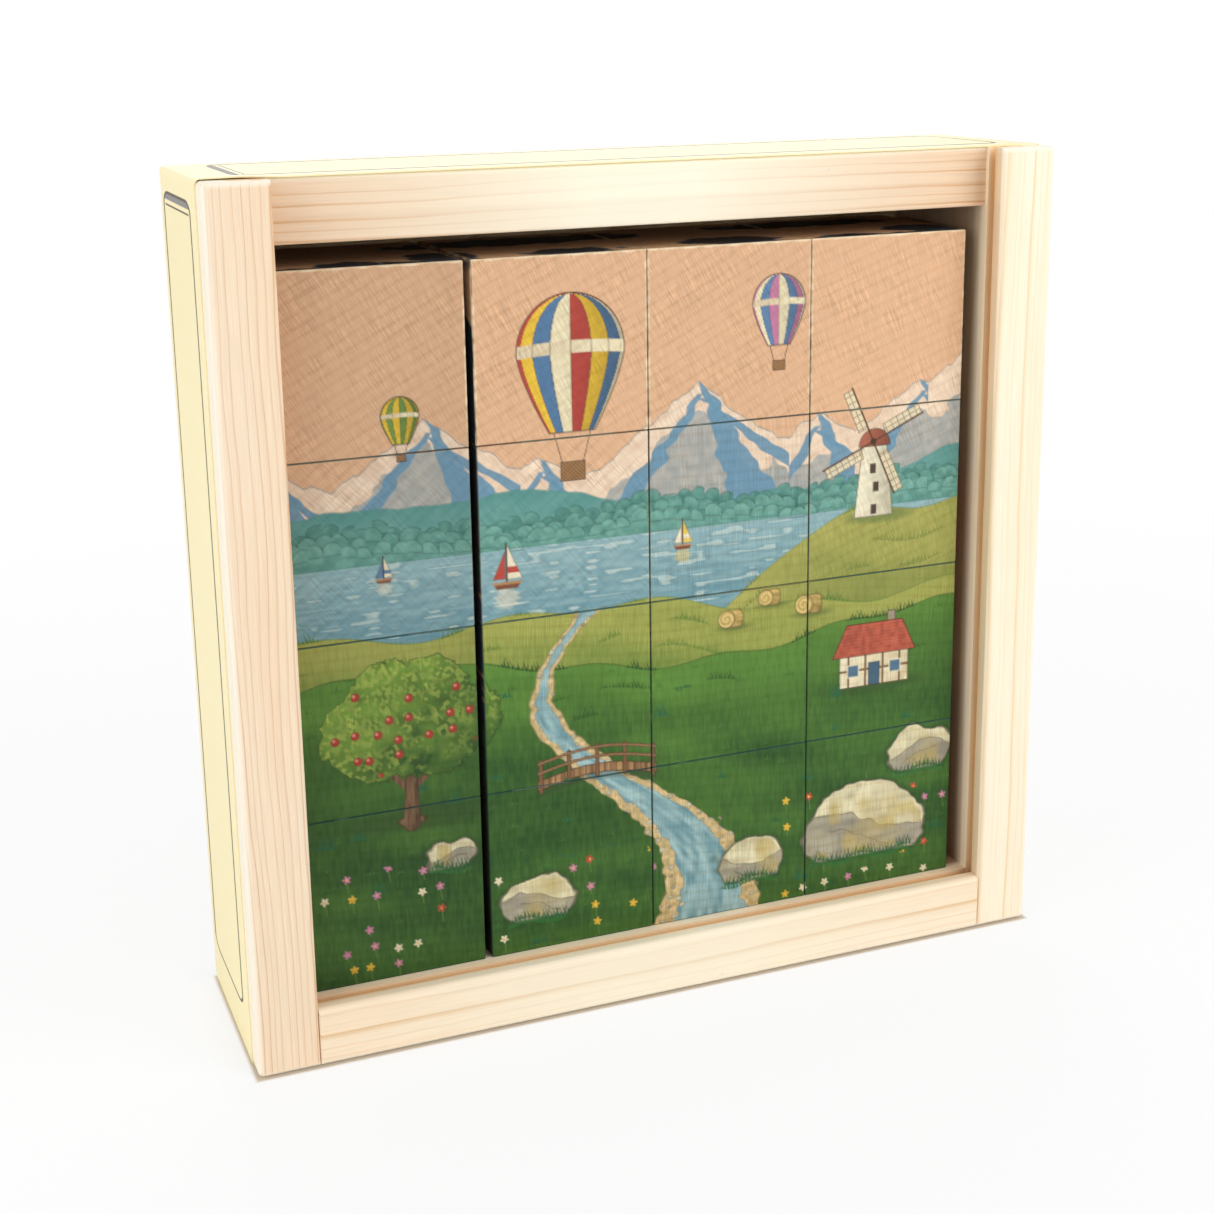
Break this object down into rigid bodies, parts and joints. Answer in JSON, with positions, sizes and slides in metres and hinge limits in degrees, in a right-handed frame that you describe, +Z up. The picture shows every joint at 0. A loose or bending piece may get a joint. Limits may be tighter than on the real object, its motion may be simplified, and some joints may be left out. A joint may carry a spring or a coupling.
{
  "type": "picture cube puzzle",
  "caption": "Wooden picture-cube puzzle: printed cubes in a shallow open-fronted wooden box with a lid groove, each cube lifting out through the front.",
  "frame": {"origin": "centre of the outline, on the plane that the box stands on", "axes": "+X to the right across the picture, +Y from the open front to the back, +Z up"},
  "size_m": [0.1952, 0.0506, 0.1931],
  "materials": {
    "spruce_frame": "planed and lightly sanded, bare",
    "plywood_back": "thin rotary-cut plywood, bare",
    "beech_dowel": "turned, bare",
    "wire_pins": "bright drawn wire",
    "paper_band": "smooth cream card paper with printed rules",
    "printed_beech": "sanded beech, screen printed with a landscape, satin ink"
  },
  "bodies": {
    "box": {"left_stile": "spruce_frame", "right_stile": "spruce_frame", "bottom_rail": "spruce_frame", "top_rail": "spruce_frame", "back_panel": "plywood_back", "panel_pins": "wire_pins", "corner_dowels": "beech_dowel", "label_left": "paper_band", "label_right": "paper_band", "label_top": "paper_band", "label_bottom": "paper_band"},
    "cube_r1c1": {"cube_r1c1": "printed_beech"},
    "cube_r1c2": {"cube_r1c2": "printed_beech"},
    "cube_r1c3": {"cube_r1c3": "printed_beech"},
    "cube_r1c4": {"cube_r1c4": "printed_beech"},
    "cube_r2c1": {"cube_r2c1": "printed_beech"},
    "cube_r2c2": {"cube_r2c2": "printed_beech"},
    "cube_r2c3": {"cube_r2c3": "printed_beech"},
    "cube_r2c4": {"cube_r2c4": "printed_beech"},
    "cube_r3c1": {"cube_r3c1": "printed_beech"},
    "cube_r3c2": {"cube_r3c2": "printed_beech"},
    "cube_r3c3": {"cube_r3c3": "printed_beech"},
    "cube_r3c4": {"cube_r3c4": "printed_beech"},
    "cube_r4c1": {"cube_r4c1": "printed_beech"},
    "cube_r4c2": {"cube_r4c2": "printed_beech"},
    "cube_r4c3": {"cube_r4c3": "printed_beech"},
    "cube_r4c4": {"cube_r4c4": "printed_beech"}
  },
  "joints": [
    {"name": "lift_out_r1c1", "type": "slide", "parent": "box", "child": "cube_r1c1", "axis": [0, -1, 0], "range_m": [0, 0.06]},
    {"name": "lift_out_r1c2", "type": "slide", "parent": "box", "child": "cube_r1c2", "axis": [0, -1, 0], "range_m": [0, 0.06]},
    {"name": "lift_out_r1c3", "type": "slide", "parent": "box", "child": "cube_r1c3", "axis": [0, -1, 0], "range_m": [0, 0.06]},
    {"name": "lift_out_r1c4", "type": "slide", "parent": "box", "child": "cube_r1c4", "axis": [0, -1, 0], "range_m": [0, 0.06]},
    {"name": "lift_out_r2c1", "type": "slide", "parent": "box", "child": "cube_r2c1", "axis": [0, -1, 0], "range_m": [0, 0.06]},
    {"name": "lift_out_r2c2", "type": "slide", "parent": "box", "child": "cube_r2c2", "axis": [0, -1, 0], "range_m": [0, 0.06]},
    {"name": "lift_out_r2c3", "type": "slide", "parent": "box", "child": "cube_r2c3", "axis": [0, -1, 0], "range_m": [0, 0.06]},
    {"name": "lift_out_r2c4", "type": "slide", "parent": "box", "child": "cube_r2c4", "axis": [0, -1, 0], "range_m": [0, 0.06]},
    {"name": "lift_out_r3c1", "type": "slide", "parent": "box", "child": "cube_r3c1", "axis": [0, -1, 0], "range_m": [0, 0.06]},
    {"name": "lift_out_r3c2", "type": "slide", "parent": "box", "child": "cube_r3c2", "axis": [0, -1, 0], "range_m": [0, 0.06]},
    {"name": "lift_out_r3c3", "type": "slide", "parent": "box", "child": "cube_r3c3", "axis": [0, -1, 0], "range_m": [0, 0.06]},
    {"name": "lift_out_r3c4", "type": "slide", "parent": "box", "child": "cube_r3c4", "axis": [0, -1, 0], "range_m": [0, 0.06]},
    {"name": "lift_out_r4c1", "type": "slide", "parent": "box", "child": "cube_r4c1", "axis": [0, -1, 0], "range_m": [0, 0.06]},
    {"name": "lift_out_r4c2", "type": "slide", "parent": "box", "child": "cube_r4c2", "axis": [0, -1, 0], "range_m": [0, 0.06]},
    {"name": "lift_out_r4c3", "type": "slide", "parent": "box", "child": "cube_r4c3", "axis": [0, -1, 0], "range_m": [0, 0.06]},
    {"name": "lift_out_r4c4", "type": "slide", "parent": "box", "child": "cube_r4c4", "axis": [0, -1, 0], "range_m": [0, 0.06]}
  ]
}
